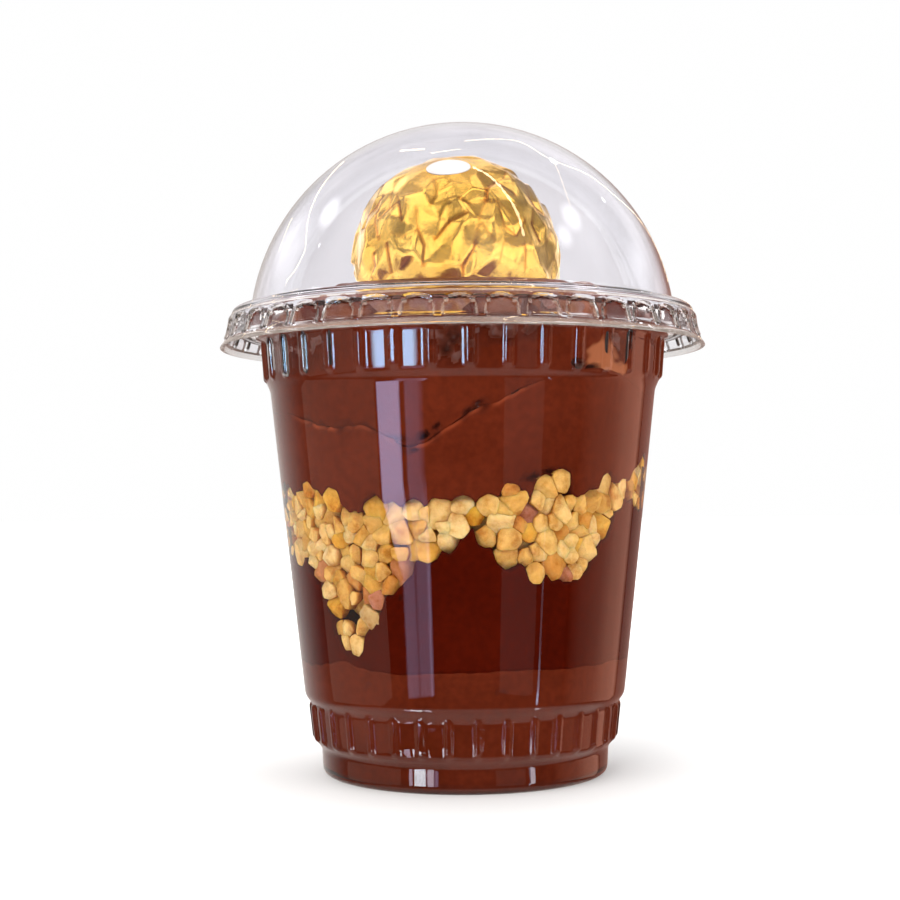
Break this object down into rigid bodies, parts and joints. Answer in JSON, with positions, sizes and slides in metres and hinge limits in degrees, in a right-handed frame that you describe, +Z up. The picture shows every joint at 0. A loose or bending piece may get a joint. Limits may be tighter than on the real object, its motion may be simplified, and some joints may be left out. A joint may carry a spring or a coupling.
{
  "type": "chocolate mousse cup",
  "caption": "Layered chocolate mousse with chopped nuts in a ribbed clear plastic cup, with a foil-wrapped sweet on top under a clear dome lid.",
  "frame": {"origin": "centre of the cup's foot, on the surface it stands on", "axes": "+Z up along the cup's axis; -Y is the side that the picture shows; +X is to its right"},
  "size_m": [0.0826, 0.0826, 0.1101],
  "materials": {
    "cup": "clear gloss plastic",
    "dome_lid": "clear gloss plastic",
    "mousse_base": "smooth milk chocolate mousse",
    "mousse_dark": "smooth dark chocolate mousse",
    "nut_layer": "toasted chopped nuts",
    "mousse_middle": "smooth milk chocolate mousse",
    "mousse_top": "smooth milk chocolate mousse",
    "foil_ball": "crumpled gold foil",
    "ball_label": "blank white paper"
  },
  "bodies": {
    "root": {"cup": "cup", "dome_lid": "dome_lid", "mousse_base": "mousse_base", "mousse_dark": "mousse_dark", "nut_layer": "nut_layer", "mousse_middle": "mousse_middle", "mousse_top": "mousse_top", "foil_ball": "foil_ball", "ball_label": "ball_label"}
  },
  "joints": []
}
